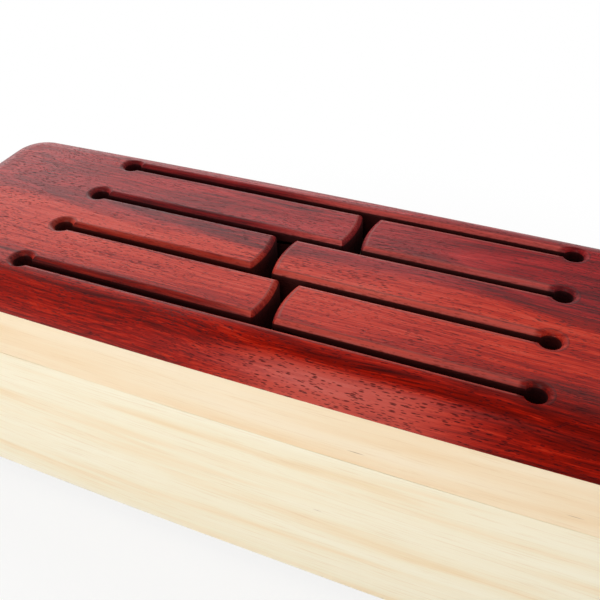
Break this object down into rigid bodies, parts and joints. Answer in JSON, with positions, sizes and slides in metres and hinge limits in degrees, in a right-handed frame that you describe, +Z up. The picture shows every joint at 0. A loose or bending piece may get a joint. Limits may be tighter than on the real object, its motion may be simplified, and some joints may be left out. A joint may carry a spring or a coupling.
{
  "type": "slit drum",
  "caption": "Box drum with a rounded red hardwood top cut by slots into tongues with round tips, pale board sides, hidden braces, sound hole below and rubber feet.",
  "frame": {"origin": "on the floor plane under the middle of the drum, at the centre of the bottom of its bounding box", "axes": "+X along the drum towards the player's right hand, +Y away from the player, +Z up out of the tongue plate"},
  "size_m": [0.522, 0.177, 0.1888],
  "materials": {
    "padauk": "satin oiled, deep red with darker streaks along the grain and short dark pores",
    "pale_boards": "satin clear finish over pale straight-grained wood",
    "plywood": "sanded, clear sealed",
    "glue_blocks": "planed, unfinished",
    "braces": "planed, unfinished",
    "feet": "matt moulded",
    "screws": "zinc plated"
  },
  "bodies": {
    "root": {"tongue_plate": "padauk", "front_lower_board": "pale_boards", "front_upper_board": "pale_boards", "rear_lower_board": "pale_boards", "rear_upper_board": "pale_boards", "left_end_lower_board": "pale_boards", "left_end_upper_board": "pale_boards", "right_end_lower_board": "pale_boards", "right_end_upper_board": "pale_boards", "bottom_panel": "plywood", "corner_post_front_left": "glue_blocks", "corner_post_front_right": "glue_blocks", "corner_post_rear_left": "glue_blocks", "corner_post_rear_right": "glue_blocks", "bottom_cleat_front": "glue_blocks", "bottom_cleat_rear": "glue_blocks", "bottom_cleat_left": "glue_blocks", "bottom_cleat_right": "glue_blocks", "left_cross_brace": "braces", "right_cross_brace": "braces", "foot_front_left": "feet", "washer_front_left": "screws", "screw_front_left": "screws", "foot_front_right": "feet", "washer_front_right": "screws", "screw_front_right": "screws", "foot_rear_left": "feet", "washer_rear_left": "screws", "screw_rear_left": "screws", "foot_rear_right": "feet", "washer_rear_right": "screws", "screw_rear_right": "screws"}
  },
  "joints": []
}
